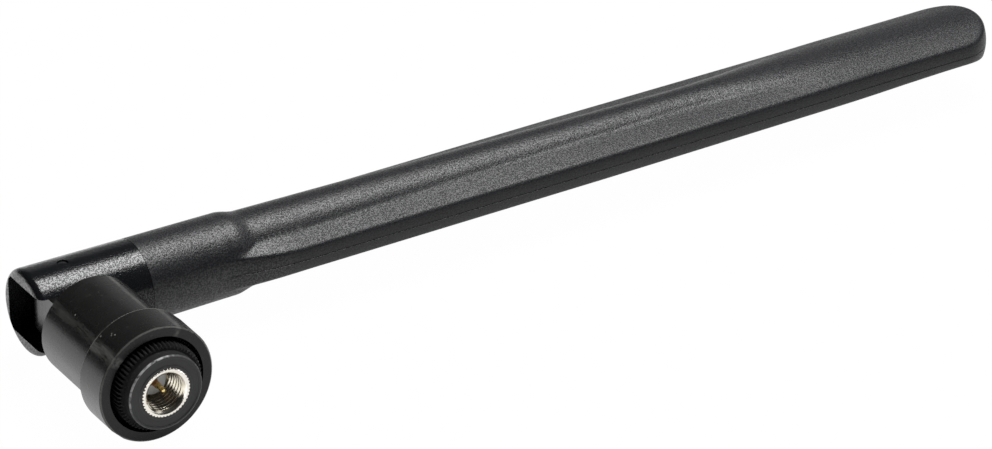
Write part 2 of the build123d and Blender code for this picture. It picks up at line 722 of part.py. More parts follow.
# Radiating wire with a loading coil, whose turns reach the axis by a short leg at each end
with BuildPart() as whip_wire:
    with BuildSketch(across_blade(cable_end)):
        Circle(WIRE_RADIUS)
    extrude(amount=coil_start - cable_end)
    with BuildSketch(across_blade(coil_end)):
        Circle(WIRE_RADIUS)
    extrude(amount=wire_end - coil_end)
    with BuildLine():
        coil = Helix(COIL_PITCH, COIL_TURNS * COIL_PITCH, COIL_RADIUS, (coil_start, hinge_y, 0), (1, 0, 0))
    with BuildSketch(Plane(coil @ 0, z_dir=coil % 0)):
        Circle(WIRE_RADIUS)
    sweep(path=coil)
    for axis_point, coil_point in (
        (Vector(coil_start, hinge_y, 0), coil @ 0),
        (Vector(coil_end, hinge_y, 0), coil @ 1),
    ):
        with BuildSketch(Plane(axis_point, z_dir=coil_point - axis_point)):
            Circle(WIRE_RADIUS)
        extrude(amount=COIL_RADIUS)
        with Locations(axis_point, coil_point):
            Sphere(WIRE_RADIUS)
whip_wire.part.label = "whip_wire"
export_step(whip_wire.part, "parts/whip_wire.step")

# Former inside the coil
with BuildPart() as coil_former:
    with BuildSketch(across_blade(coil_start + WIRE_RADIUS + SIDE_GAP)):
        Circle(COIL_RADIUS - WIRE_RADIUS - SLIDING)
    extrude(amount=coil_end - coil_start - 2 * (WIRE_RADIUS + SIDE_GAP))
coil_former.part.label = "coil_former"
export_step(coil_former.part, "parts/coil_former.step")

# Two plastic spacers that centre the wire, with the taper of the bore
for spacer_name, spacer_start in (
    ("root_spacer", root_spacer_start),
    ("tip_spacer", tip_spacer_end - SPACER_LENGTH),
):
    spacer_end = spacer_start + SPACER_LENGTH
    with BuildPart() as spacer:
        with BuildSketch(hinge_plane):
            with BuildLine():
                Polyline(
                    (spacer_start, WIRE_RADIUS + SLIDING),
                    (spacer_end, WIRE_RADIUS + SLIDING),
                    (spacer_end, bore_radius(spacer_end) - SIDE_GAP),
                    (spacer_start, bore_radius(spacer_start) - SIDE_GAP),
                    close=True,
                )
            make_face()
        revolve(axis=blade_axis)
    spacer.part.label = spacer_name
    export_step(spacer.part, f"parts/{spacer_name}.step")
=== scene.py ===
import json
import math

import bmesh
import bpy
from mathutils import Matrix, Vector


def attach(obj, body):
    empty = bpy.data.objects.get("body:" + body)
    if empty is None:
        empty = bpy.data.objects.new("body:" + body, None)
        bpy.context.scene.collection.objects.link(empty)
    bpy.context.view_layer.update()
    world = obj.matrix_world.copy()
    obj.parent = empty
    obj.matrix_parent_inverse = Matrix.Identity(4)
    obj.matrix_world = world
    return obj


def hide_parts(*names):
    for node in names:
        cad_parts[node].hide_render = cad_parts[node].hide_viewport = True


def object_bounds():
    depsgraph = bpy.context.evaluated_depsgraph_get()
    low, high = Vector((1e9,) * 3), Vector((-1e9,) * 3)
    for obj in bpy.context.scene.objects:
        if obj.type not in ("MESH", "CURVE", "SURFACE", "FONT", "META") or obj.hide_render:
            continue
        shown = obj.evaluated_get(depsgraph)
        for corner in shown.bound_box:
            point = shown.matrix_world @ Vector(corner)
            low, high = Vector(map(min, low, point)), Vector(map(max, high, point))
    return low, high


# A folding whip antenna on a white ground. Meshes are worked out in millimetres and written in metres.
# The plug's axis is Y, the blade lies along X and the hinge's axis is Z, as in the frame.

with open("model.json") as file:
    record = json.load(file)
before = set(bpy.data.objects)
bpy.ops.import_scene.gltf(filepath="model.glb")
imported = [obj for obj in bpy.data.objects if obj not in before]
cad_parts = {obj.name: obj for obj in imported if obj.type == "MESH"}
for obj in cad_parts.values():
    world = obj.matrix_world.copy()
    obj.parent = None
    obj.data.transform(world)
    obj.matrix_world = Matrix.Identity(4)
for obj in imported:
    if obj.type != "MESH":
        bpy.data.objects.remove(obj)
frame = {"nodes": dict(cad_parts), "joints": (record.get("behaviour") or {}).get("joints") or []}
cad_low, cad_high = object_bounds()

MM = 0.001
# Lengths nearer than this count as equal, in millimetres
TINY = 0.001
HALF_TURN = math.pi
FULL_TURN = 2 * math.pi


def joint_place(name):
    """Where a joint's axis stands, in millimetres."""
    return Vector(next(joint["pos_m"] for joint in frame["joints"] if joint["name"] == name)) / MM


HINGE = joint_place("tilt_hinge")


# Meshes


def share_between(start, end, value):
    """How far value lies from start to end, held between 0 and 1."""
    return min(max((value - start) / (end - start), 0.0), 1.0)


def smooth_share(start, end, value):
    """As share_between, with level ends."""
    share = share_between(start, end, value)
    return share * share * (3 - 2 * share)


def flat_topped(flanks, share):
    """A tooth of height 1, whose flanks rise and fall between these four shares of its pitch."""
    rise_start, rise_end, fall_start, fall_end = flanks
    return share_between(rise_start, rise_end, share) - share_between(fall_start, fall_end, share)


def blended_max(first, second, width):
    """The larger of two lengths, with a fillet of about this width where they meet."""
    if width <= 0:
        return max(first, second)
    near = max(width - abs(first - second), 0.0)
    return max(first, second) + near * near / (4 * width)


def rounded(corners, steps=4):
    """Points of a profile whose corners (radius, place, rounding) are turned into arcs."""
    points = []
    count = len(corners)
    for index, (x, y, rounding) in enumerate(corners):
        corner = Vector((x, y))
        if rounding <= 0:
            points.append((x, y))
            continue
        before = (Vector(corners[index - 1][:2]) - corner).normalized()
        after = (Vector(corners[(index + 1) % count][:2]) - corner).normalized()
        half = before.angle(after) / 2
        reach = rounding / math.tan(half)
        centre = corner + (before + after).normalized() * (rounding / math.sin(half))
        start = corner + before * reach - centre
        sweep = (corner + after * reach - centre).angle_signed(start)
        for step in range(steps + 1):
            turned = Matrix.Rotation(sweep * step / steps, 2) @ start
            points.append(tuple(centre + turned))
    return points


def about_plug(radius, along, angle):
    """A point of a piece turned about the plug's axis."""
    return Vector((radius * math.cos(angle), along, radius * math.sin(angle)))


def on_blade(point):
    """The place in the frame, in metres, of a point given along, across and above the blade's axis."""
    return Vector((point.x, HINGE.y + point.y, point.z)) * MM


def add_strip(work, first, second, closed):
    """Faces between two rows of vertices. Rows may share vertices, and a row of one vertex is a pole."""
    count = max(len(first), len(second))
    for index in range(count if closed else count - 1):
        after = (index + 1) % count
        corners = []
        for row, place in ((first, index), (second, index), (second, after), (first, after)):
            vertex = row[place % len(row)]
            if vertex not in corners:
                corners.append(vertex)
        work.faces.new(corners)


def finished_piece(name, work, sharp_degrees=35):
    """Turns worked faces into an object with smooth shading, broken at its sharp edges."""
    bmesh.ops.recalc_face_normals(work, faces=work.faces)
    for face in work.faces:
        face.smooth = True
    mesh = bpy.data.meshes.new(name)
    work.to_mesh(mesh)
    work.free()
    mesh.set_sharp_from_angle(angle=math.radians(sharp_degrees))
    piece = bpy.data.objects.new(name, mesh)
    bpy.context.scene.collection.objects.link(piece)
    return piece


def skin(name, rings, closed_along=False, sharp_degrees=35):
    """A piece through rings of equally many points, closed at its ends unless it closes on itself."""
    work = bmesh.new()
    rows = [[work.verts.new(point * MM) for point in ring] for ring in rings]
    for first, second in zip(rows, rows[1:]):
        add_strip(work, first, second, closed=True)
    if closed_along:
        add_strip(work, rows[-1], rows[0], closed=True)
    else:
        for end in (rows[0], rows[-1]):
            if len(end) > 1:
                work.faces.new(end)
    return finished_piece(name, work, sharp_degrees)


def lathe(name, profile, place, steps=128, shape=None, closed=True, sharp_degrees=35):
    """A piece turned about an axis. shape(radius, along, angle) may change a point's radius."""
    rings = []
    for radius, along in profile:
        if radius <= 0:
            rings.append([place(0, along, 0)])
            continue
        ring = []
        for step in range(steps):
            angle = FULL_TURN * step / steps
            ring.append(place(shape(radius, along, angle) if shape else radius, along, angle))
        rings.append(ring)
    return skin(name, rings, closed_along=closed, sharp_degrees=sharp_degrees)


# Materials


class Value:
    """A number or colour in a node tree, on which Python's operators add Math nodes."""

    def __init__(self, nodes, socket):
        self.nodes = nodes
        self.socket = socket

    def math(self, operation, *others):
        return self.nodes.node("Math", {"operation": operation}, [self, *others])

    def __add__(self, other):
        return self.math("ADD", other)

    def __sub__(self, other):
        return self.math("SUBTRACT", other)

    def __rsub__(self, other):
        return self.nodes.node("Math", {"operation": "SUBTRACT"}, [other, self])

    def __mul__(self, other):
        return self.math("MULTIPLY", other)

    def __truediv__(self, other):
        return self.math("DIVIDE", other)

    def __abs__(self):
        return self.math("ABSOLUTE")

    __radd__ = __add__
    __rmul__ = __mul__

    def beyond(self, place, width):
        """0 below place and 1 above it, with a soft edge of this width."""
        return self.over(place - width / 2, place + width / 2)

    def under(self, place, width):
        """1 below place and 0 above it, with a soft edge of this width."""
        return 1 - self.beyond(place, width)

    def over(self, low, high):
        """Rises smoothly from 0 at low to 1 at high."""
        settings = {"interpolation_type": "SMOOTHSTEP"}
        return self.nodes.node("MapRange", settings, {"Value": self, "From Min": low, "From Max": high})


class Nodes:
    """The node tree of a material or a world, whose nodes are added one call at a time."""

    def __init__(self, owner, output_kind):
        owner.use_nodes = True
        self.tree = owner.node_tree
        self.tree.nodes.clear()
        self.output = self.tree.nodes.new("ShaderNodeOutput" + output_kind)

    def show(self, value):
        """Links a shader to the tree's output."""
        self.tree.links.new(value.socket, self.output.inputs["Surface"])

    def node(self, kind, settings=None, inputs=None, output=0):
        """Adds a node of this kind, with its settings first and then its sockets' values or links."""
        node = self.tree.nodes.new("ShaderNode" + kind)
        for setting, value in (settings or {}).items():
            setattr(node, setting, value)
        pairs = inputs.items() if isinstance(inputs, dict) else enumerate(inputs or [])
        for socket, value in pairs:
            if isinstance(value, Value):
                self.tree.links.new(value.socket, node.inputs[socket])
            else:
                node.inputs[socket].default_value = value
        return Value(self, node.outputs[output])


class Finish(Nodes):
    """A material round one shader, whose constants are named after its sockets."""

    def __init__(self, name, **constants):
        self.material = bpy.data.materials.new(name)
        super().__init__(self.material, "Material")
        self.shader = self.tree.nodes.new("ShaderNodeBsdfPrincipled")
        self.surface = Value(self, self.shader.outputs["BSDF"])
        self.show(self.surface)
        for socket_name, value in constants.items():
            self.shader.inputs[socket_name.replace("_", " ")].default_value = value

    def feed(self, socket, value):
        """Links a value that changes over the surface to a socket of the shader."""
        self.tree.links.new(value.socket, self.shader.inputs[socket])

    def place(self, scale=(1, 1, 1), offset=(0, 0, 0)):
        """The surface point in millimetres, in the frame, stretched by scale."""
        point = self.node("TexCoord", output="Object")
        settings = {"operation": "MULTIPLY_ADD"}
        spread = tuple(factor / MM for factor in scale)
        return self.node("VectorMath", settings, [point, spread, tuple(offset)])

    def axes(self, vector):
        """The three parts of a vector, each as a value."""
        first = self.node("SeparateXYZ", None, [vector])
        return tuple(Value(self, part) for part in first.socket.node.outputs)

    def noise(self, scale, detail=2.0, stretch=(1, 1, 1), rough=0.5, offset=(0, 0, 0)):
        """Noise from 0 to 1 with this many grains a millimetre."""
        point = self.place(stretch, offset)
        inputs = {"Vector": point, "Scale": scale, "Detail": detail, "Roughness": rough}
        return self.node("TexNoise", None, inputs)

    def mix(self, factor, first, second):
        """A colour between two colours. The node's sockets go by number, because their names repeat."""
        inputs = {0: factor, 6: colour(first), 7: colour(second)}
        return self.node("Mix", {"data_type": "RGBA"}, inputs, output=2)

    def bump(self, height, distance):
        """A normal raised by height, a share of this distance in millimetres."""
        return self.node("Bump", None, {"Height": height, "Distance": distance * MM})


def band(value, start, end, width):
    """1 from start to end, with soft edges of this width."""
    return value.beyond(start, width) * value.under(end, width)


def colour(value):
    """A linear colour with its alpha, from three numbers or one grey."""
    if isinstance(value, Value):
        return value
    if isinstance(value, (int, float)):
        return (value, value, value, 1.0)
    return (*value, 1.0)


# Places in the frame that wear, dust, stain, painted highlights and painted shade follow: lengths in
# millimetres, turns in degrees
FLANGE_INSIDE = 3.8
FLANGE_START = 34.0
COLLAR_FRONT = -0.9
COLLAR_BACK = 5.3
COLLAR_RADIUS = 9.2
COLLAR_BACK_RIM = 0.32
COLLAR_FRONT_RIM = 0.2
LEFT_FLAT = (133, 144)
RIGHT_FLAT = (62, 67)
NOSE_RIM_HIGHLIGHT = 5.72
NOSE_RIM_HIGHLIGHT_BACK = -3.4
BAND_SHADE_AND_DUST_FRONT = -3.3
THREAD_SHADE_FRONT = -3.62
SHANK_STAIN_FRONT = -1.3
# The mean of the glints, which the blade's smoother side walls keep
EVEN_GLINT = 0.42
# Pale specks on the knuckle: place and radius
KNUCKLE_SPECKS = (
    (-5.17, 13.58, 5.97, 0.13),
    (-5.84, 4.59, 7.11, 0.12),
    (-4.6, 2.5, 7.95, 0.1),
    (-4.95, 2.95, 7.75, 0.1),
    (-4.75, 3.2, 7.87, 0.1),
)


def spark_grain(finish):
    """The height of the grain that a spark-eroded tool leaves, and the glints on it."""
    grain = finish.noise(3.8, detail=1.0, rough=0.6)
    glints = finish.noise(4.4, detail=1.0, rough=0.7, offset=(31, 7, 19)).over(0.45, 0.58)
    return grain, glints


def textured_plastic():
    """Black plastic with fine grains that glint under the light, smoother on the blade's side walls."""
    finish = Finish("spark_grained_plastic", IOR=1.36, Coat_Roughness=0.42, Coat_IOR=1.5)
    grain, glints = spark_grain(finish)
    broad = finish.noise(0.12, detail=2.0)
    tone = (grain - 0.5) * 0.6 + (broad - 0.5) * 0.5 + 0.5
    finish.feed("Base Color", finish.mix(tone, (0.0035, 0.004, 0.005), (0.011, 0.0117, 0.0138)))
    x, y, _ = finish.axes(finish.place())
    past_root = x.beyond(FLANGE_START, 6.0)
    flange = abs(y - HINGE.y).beyond(FLANGE_INSIDE, 1.0) * past_root
    finish.feed("Roughness", 0.42 + flange * 0.1 + (broad - 0.5) * 0.12)
    facing_up = finish.axes(finish.node("TexCoord", output="Normal"))[2]
    wall = abs(facing_up).under(0.4, 0.3) * past_root
    glints += (EVEN_GLINT - glints) * wall * 0.7
    finish.feed("Coat Weight", glints * (0.75 - flange * 0.2))
    finish.feed("Normal", finish.bump(grain, 0.08))
    return finish.material


def glossy_plastic():
    """Black plastic with a shallow orange peel, as on the hinge housing."""
    finish = Finish("peeled_gloss_plastic", IOR=1.25, Coat_Roughness=0.17, Coat_IOR=1.65)
    grain, glints = spark_grain(finish)
    broad = finish.noise(0.25, detail=2.0)
    finish.feed("Base Color", finish.mix(broad, (0.005, 0.0055, 0.0065), (0.009, 0.0095, 0.011)))
    finish.feed("Roughness", 0.2 + (broad - 0.5) * 0.08)
    finish.feed("Coat Weight", glints * 0.48)
    finish.feed("Normal", finish.bump(grain, 0.04))
    return finish.material


def satin_plastic():
    """Black plastic with a smooth satin skin, as on the knuckle: pale along its flats and rims, partly wear
    from rubbing and partly painted highlight, with painted shade, near black, at its front.
    """
    finish = Finish("satin_plastic", IOR=1.38)
    broad = finish.noise(0.35, detail=3.0, rough=0.6)
    fine = finish.noise(5.0, detail=2.0, rough=0.7)
    dust = finish.noise(1.1, detail=5.0, rough=0.75, offset=(3, 11, 5))
    streaks = finish.noise(1.0, detail=4.0, stretch=(1, 0.16, 1), rough=0.75)
    point = finish.place()
    x, y, z = finish.axes(point)
    radius = (x * x + z * z).math("SQRT")
    turn = z.math("ARCTAN2", x) * (180 / HALF_TURN)
    collar = y.under(COLLAR_BACK, 0.1) * y.beyond(COLLAR_FRONT - 0.2, 0.1)
    # Painted highlight: the flats at these turns are painted pale where they would catch the light, in
    # streaks like rubbing
    left_flat = band(turn, *LEFT_FLAT, 4.0)
    right_flat = band(turn, *RIGHT_FLAT, 4.0)
    # Painted highlight on the collar's rims: a thin pale line, which on the back rim is partly also worn
    # edge
    back_rim = band(y, COLLAR_BACK - COLLAR_BACK_RIM, COLLAR_BACK, 0.06)
    back_rim *= radius.beyond(COLLAR_RADIUS - 0.4, 0.05)
    front_rim = band(y, COLLAR_FRONT, COLLAR_FRONT + COLLAR_FRONT_RIM, 0.06)
    front_rim *= radius.beyond(COLLAR_RADIUS - 0.26, 0.05)
    pale_patches = streaks.over(0.3, 0.75)
    # Paleness of wear, dust and specks, together with the painted highlights on the flats and rims
    pale_wear_and_highlight = left_flat * pale_patches * (0.3 + collar * 0.7) + right_flat * pale_patches * 0.7
    pale_wear_and_highlight += back_rim * dust.over(0.3, 0.5) * 1.6 + front_rim * streaks.over(0.25, 0.5) * 0.5
    pale_wear_and_highlight += dust.over(0.58, 0.7) * 0.15 + fine.over(0.74, 0.8) * 0.5
    for x_at, y_at, z_at, size in KNUCKLE_SPECKS:
        away = finish.node("VectorMath", {"operation": "DISTANCE"}, [point, (x_at, y_at, z_at)], output=1)
        pale_wear_and_highlight += away.under(size, size) * 3
    base = finish.mix(broad, (0.0085, 0.0085, 0.0082), (0.0135, 0.0135, 0.013))
    # Painted shade: the knuckle's front, from the collar's front face into the recess round the nut, is
    # painted near black
    base = finish.mix(y.under(COLLAR_FRONT + 0.1, 0.1), base, (0.0035, 0.0035, 0.0035))
    finish.feed("Base Color", finish.mix(pale_wear_and_highlight, base, (0.15, 0.15, 0.142)))
    finish.feed("Roughness", 0.27 + (broad - 0.5) * 0.12 + pale_wear_and_highlight * 0.15)
    finish.feed("Normal", finish.bump(fine * 0.4 + streaks * 0.6, 0.02))
    return finish.material


def disc_plastic():
    """Dark grey matt plastic of the nut's grip, with painted shade, near black with dust specks, on the
    band, and a painted highlight on the nose's rim, palest at its upper left.
    """
    finish = Finish("matt_grip_plastic", IOR=1.45)
    broad = finish.noise(0.8, detail=3.0)
    fine = finish.noise(12.0, detail=2.0)
    dust = finish.noise(3.2, detail=2.0, rough=0.7).over(0.6, 0.7)
    x, y, z = finish.axes(finish.place())
    radius = (x * x + z * z).math("SQRT")
    # Painted shade: the band, deep behind the nose, is painted near black with pale dust specks, and made
    # rougher
    deep = y.beyond(BAND_SHADE_AND_DUST_FRONT, 0.3)
    # Painted highlight: the nose's outer rim is painted pale in patches, palest at its upper left, where it
    # would catch the light
    rim = radius.beyond(NOSE_RIM_HIGHLIGHT, 0.06) * y.under(NOSE_RIM_HIGHLIGHT_BACK, 0.1)
    face = finish.mix(broad, (0.019, 0.0195, 0.021), (0.026, 0.0265, 0.028))
    shaded = finish.mix(dust, (0.0025, 0.0025, 0.0027), (0.035, 0.035, 0.034))
    upper_left = (z - x).over(2.5, 7.0)
    rim_tone = finish.mix(upper_left, 0.07, 0.4)
    pale_patches = rim * finish.noise(1.2, detail=3.0).over(0.3, 0.6)
    finish.feed("Base Color", finish.mix(pale_patches, finish.mix(deep, face, shaded), rim_tone))
    finish.feed("Roughness", 0.5 + (broad - 0.5) * 0.2 + deep * 0.4)
    finish.feed("Normal", finish.bump(fine, 0.008))
    return finish.material


def plated_nickel():
    """Bright nickel plate with a warm tint, faint turning marks and painted shade, darker and browner, deep
    in the thread.
    """
    finish = Finish("nickel_plate", Metallic=1.0)
    turned = finish.noise(2.0, detail=3.0, stretch=(0.3, 14, 0.3))
    stain = finish.noise(1.5, detail=3.0)
    y = finish.axes(finish.place())[1]
    plate = finish.mix(stain, (0.8, 0.76, 0.68), (0.93, 0.9, 0.84))
    inner = finish.mix(stain, (0.42, 0.38, 0.3), (0.66, 0.62, 0.53))
    # Painted shade: past the thread's mouth, inside the nut, the plate is painted darker and browner
    finish.feed("Base Color", finish.mix(y.beyond(THREAD_SHADE_FRONT, 0.08), plate, inner))
    finish.feed("Roughness", 0.13 + turned * 0.14)
    finish.feed("Normal", finish.bump(turned, 0.006))
    return finish.material


def plated_gold():
    """Gold plate on the centre contact, reddish and duller on its shank."""
    finish = Finish("gold_plate", Metallic=1.0)
    stain = finish.noise(3.0, detail=3.0)
    y = finish.axes(finish.place())[1]
    shank = y.beyond(SHANK_STAIN_FRONT, 0.8)
    bright = finish.mix(stain, (0.72, 0.5, 0.16), (0.95, 0.76, 0.36))
    dull = finish.mix(stain, (0.3, 0.11, 0.05), (0.55, 0.28, 0.13))
    finish.feed("Base Color", finish.mix(shank, bright, dull))
    finish.feed("Roughness", 0.2 + shank * 0.2 + (stain - 0.5) * 0.1)
    return finish.material


def insulator_plastic():
    """Pale translucent-looking fluoropolymer of the insulator."""
    finish = Finish("pale_insulator", IOR=1.38)
    cloud = finish.noise(1.2, detail=3.0)
    finish.feed("Base Color", finish.mix(cloud, (0.84, 0.86, 0.86), (0.93, 0.95, 0.95)))
    finish.feed("Roughness", 0.4 + cloud * 0.2)
    return finish.material


def plain_finish(name, dark, light, grains, roughness, metallic=0.0):
    """A simple finish for inner pieces: two tones, and a roughness that follows them."""
    finish = Finish(name, Metallic=metallic)
    cloud = finish.noise(grains, detail=3.0)
    finish.feed("Base Color", finish.mix(cloud, dark, light))
    finish.feed("Roughness", roughness + (cloud - 0.5) * 0.15)
    finish.feed("Normal", finish.bump(cloud, 0.01))
    return finish.material


GRAINED = textured_plastic()
GLOSSY = glossy_plastic()
SATIN = satin_plastic()
GRIP = disc_plastic()
NICKEL = plated_nickel()
GOLD = plated_gold()
INSULATOR = insulator_plastic()
RUBBER = plain_finish("seal_rubber", (0.015, 0.015, 0.015), (0.03, 0.03, 0.03), 2.0, 0.7)
SPRING = plain_finish("spring_steel", (0.4, 0.4, 0.41), (0.55, 0.55, 0.56), 3.0, 0.3, metallic=1.0)
WASHER = plain_finish("washer_plastic", (0.5, 0.5, 0.46), (0.62, 0.62, 0.58), 2.0, 0.5)
JACKET = plain_finish("cable_jacket", (0.02, 0.02, 0.02), (0.035, 0.035, 0.035), 3.0, 0.5)
BRASS = plain_finish("sleeve_brass", (0.6, 0.43, 0.16), (0.75, 0.57, 0.26), 1.5, 0.35, metallic=1.0)
SHRINK = plain_finish("shrink_tube", (0.012, 0.012, 0.012), (0.025, 0.025, 0.025), 1.5, 0.4)
COPPER = plain_finish("bare_copper", (0.6, 0.27, 0.13), (0.78, 0.4, 0.22), 3.0, 0.35, metallic=1.0)
FORMER = plain_finish("former_plastic", (0.6, 0.6, 0.55), (0.72, 0.72, 0.67), 1.5, 0.5)

NODE_FINISHES = {
    "connector_body": NICKEL,
    "insulator": INSULATOR,
    "centre_contact": GOLD,
    "crimp_ferrule": NICKEL,
    "feed_cable": JACKET,
    "nut_ring": SPRING,
    "swivel_ring": SPRING,
    "swivel_washer": WASHER,
    "face_gasket": RUBBER,
    "nut_insert": NICKEL,
    "nut_grip": GRIP,
    "knuckle": SATIN,
    "hinge_housing": GLOSSY,
    "hinge_pin": GLOSSY,
    "radome": GRAINED,
    "whip_cable": JACKET,
    "choke_sleeve": BRASS,
    "joint_sleeve": SHRINK,
    "whip_wire": COPPER,
    "coil_former": FORMER,
    "root_spacer": FORMER,
    "tip_spacer": FORMER,
}
for node_name, node_finish in NODE_FINISHES.items():
    node_object = frame["nodes"][node_name]
    node_object.data.materials.clear()
    node_object.data.materials.append(node_finish)


def dress(piece, finish, body, slot, *nodes):
    """Gives a piece its finish and its body, and hides the CAD nodes that it stands for. The slot is not
    used.
    """
    piece.data.materials.append(finish)
    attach(piece, body)
    if nodes:
        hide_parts(*nodes)
    return piece


# Radome: a round neck with a waist, a blade with a barrel between two sloped flanges, and a round tip

NECK_START = 11.5
NECK_RADIUS = 6.5
NECK_DRAFT = 0.13
NECK_EDGE = 0.08
NECK_BORE = 4.95
NECK_BORE_END = 18.55
TAPERED_BORE = 4.2
TIP_BORE = 1.3
BORE_END = 132.0
WAIST_START = 26.8
WAIST_END = 30.2
CREST_AT_WAIST = 5.77
CREST_AT_TIP = 3.4
ROOT_START = 25.0
ROOT_END = 37.0
ROOT_FILLET = 0.5
ROOT_FILLET_END = 31.0
ROOT_FILLET_GROWTH = 1.5
SIDE_AT_ROOT = 6.15
SIDE = 7.75
SIDE_AT_TIP = 7.25
SIDE_FALL_START = 90.0
SIDE_FALL_END = 146.0
SIDE_DRAFT = 0.035
WALL_LEAN = 15.0
EDGE_HEIGHT = 2.0
UNDER_EDGE_HEIGHT = 2.4
EDGE_RISE_AT_TIP = 0.1
EDGE_RISE_START = 128.0
EDGE_RISE_END = 142.0
UNDER_FALL_AT_TIP = 0.4
UNDER_FALL_START = 134.0
UNDER_FALL_END = 158.0
EDGE_RISE_AT_ROOT = 0.75
EDGE_RISE_POWER = 1.5
EDGE_ROUND = 1.0
VALLEY_RADIUS = 1.6
VALLEY_TURN = 4.8
VALLEY_TURN_AT_ROOT = 7.5
VALLEY_ROOT_END = 75.0
VALLEY_OUTERMOST = 0.93
VALLEY_NARROWEST = 0.03
CROWN_START = 106.0
CROWN_END = 138.0
TIP_CENTRE = 158.9
TIP_END = 165.25
PARTING_DEPTH = 0.06
PARTING_HALF_WIDTH = 0.08
PARTING_SHIFT = 0.2
WALL_STEPS = 4
EDGE_STEPS = 9
SLOPE_STEPS = 8
BARREL_STEPS = 20
TIP_SPOKES = 56
# How far apart the rings stand
NECK_STEP = 2.0
WAIST_LEAD = 1.2
ROOT_STEP = 0.2
BLADE_STEP = 0.8


def side_place(x):
    """Distance of the blade's side wall from its axis, which grows fast at the root and then levels out."""
    left = 1 - share_between(ROOT_START, ROOT_END, x)
    fall = (SIDE - SIDE_AT_TIP) * share_between(SIDE_FALL_START, SIDE_FALL_END, x)
    return SIDE - (SIDE - SIDE_AT_ROOT) * left**2 - fall


def edge_height(x, under):
    """Height of the slope's edge over the blade's middle plane, or its depth on the under side."""
    rise = EDGE_RISE_AT_ROOT * (1 - share_between(ROOT_START, ROOT_END, x)) ** EDGE_RISE_POWER
    if under:
        fall = UNDER_FALL_AT_TIP * smooth_share(UNDER_FALL_START, UNDER_FALL_END, x)
        return UNDER_EDGE_HEIGHT + rise - fall
    return EDGE_HEIGHT + rise + EDGE_RISE_AT_TIP * smooth_share(EDGE_RISE_START, EDGE_RISE_END, x)


def crest_height(x):
    """Height of the barrel's crest, which falls evenly from the waist to the tip."""
    return CREST_AT_WAIST + (CREST_AT_TIP - CREST_AT_WAIST) * share_between(WAIST_END, TIP_END, x)


def neck_radius(x):
    """Radius of the neck and its waist."""
    drafted = NECK_RADIUS - NECK_DRAFT * share_between(NECK_START, WAIST_START, x)
    return drafted + (CREST_AT_WAIST - drafted) * smooth_share(WAIST_START, WAIST_END, x)


class BladeProfile:
    """Surface across the blade at x: a slope, a valley's fillet and the barrel, which widens to a crown."""

    def __init__(self, x, under):
        crest = crest_height(x)
        half = side_place(x) - EDGE_ROUND
        drop = crest - edge_height(x, under)
        whole = EDGE_ROUND + (half**2 + drop**2) / (2 * drop)
        widened = smooth_share(CROWN_START, CROWN_END, x)
        self.crown = crest + (whole - crest) * widened
        self.centre = Vector((0, crest - self.crown))
        edge = Vector((half, edge_height(x, under) - EDGE_ROUND)) - self.centre
        turn = VALLEY_TURN
        turn += (VALLEY_TURN_AT_ROOT - VALLEY_TURN) * (1 - share_between(ROOT_END, VALLEY_ROOT_END, x))
        turn *= 1 - widened
        reach = min((self.crown - EDGE_ROUND) / edge.length, 1.0)
        tangent = math.asin(reach) - math.atan2(edge.y, edge.x)
        slope = max(tangent - math.radians(turn), 0.0)
        self.normal = Vector((math.sin(slope), math.cos(slope)))
        self.height = edge.dot(self.normal) + EDGE_ROUND
        over = self.height + VALLEY_RADIUS
        along = math.sqrt(max((self.crown + VALLEY_RADIUS) ** 2 - over**2, 0.0))
        self.valley = self.centre + self.normal * over + Vector((self.normal.y, -self.normal.x)) * along
        self.valley_start = self.valley.x - self.normal.x * VALLEY_RADIUS
        self.valley_end = (self.valley - self.centre).normalized().x * self.crown

    def top(self, across):
        """Height of the surface at this distance from the blade's axis."""
        across = abs(across)
        if across <= self.valley_end:
            return self.centre.y + math.sqrt(self.crown**2 - across**2)
        if across < self.valley_start:
            return self.valley.y - math.sqrt(VALLEY_RADIUS**2 - (across - self.valley.x) ** 2)
        return self.centre.y + (self.height - self.normal.x * across) / self.normal.y


def wall_inward(height, top):
    """How far the side wall lies inside its edge's outermost place: it bulges, and leans in at its top."""
    lean = math.radians(WALL_LEAN)
    return EDGE_ROUND * (1 - math.cos(lean)) - math.tan(lean) * (top**2 - height**2) / (2 * top)


def edge_and_wall(x, across, outward, under):
    """Points from the side wall's middle to the slope, at a wall point with this outward normal."""
    inner = Vector((x, across)) - outward * EDGE_ROUND
    outer = inner + outward * (EDGE_ROUND / 4)
    fall = BladeProfile(inner.x, under).top(inner.y) - BladeProfile(outer.x, under).top(outer.y)
    tilt = math.atan2(fall, EDGE_ROUND / 4)
    touch = inner + outward * EDGE_ROUND * math.sin(tilt)
    centre_height = BladeProfile(touch.x, under).top(touch.y) - EDGE_ROUND * math.cos(tilt)
    middle = PARTING_SHIFT if under else -PARTING_SHIFT
    lean = math.radians(WALL_LEAN)
    wall_top = centre_height + EDGE_ROUND * math.sin(lean)
    places = [(wall_inward(middle, wall_top) + PARTING_DEPTH, middle)]
    for step in range(WALL_STEPS):
        share = step / WALL_STEPS
        height = (middle + PARTING_HALF_WIDTH) * (1 - share) + wall_top * share
        places.append((wall_inward(height, wall_top), height))
    for step in range(EDGE_STEPS + 1):
        turn = lean + (math.pi / 2 - tilt - lean) * step / EDGE_STEPS
        places.append((EDGE_ROUND * (1 - math.cos(turn)), centre_height + EDGE_ROUND * math.sin(turn)))
    points = []
    for inward, height in places:
        inward += SIDE_DRAFT * centre_height
        points.append(Vector((x - outward.x * inward, across - outward.y * inward, height)))
    return points


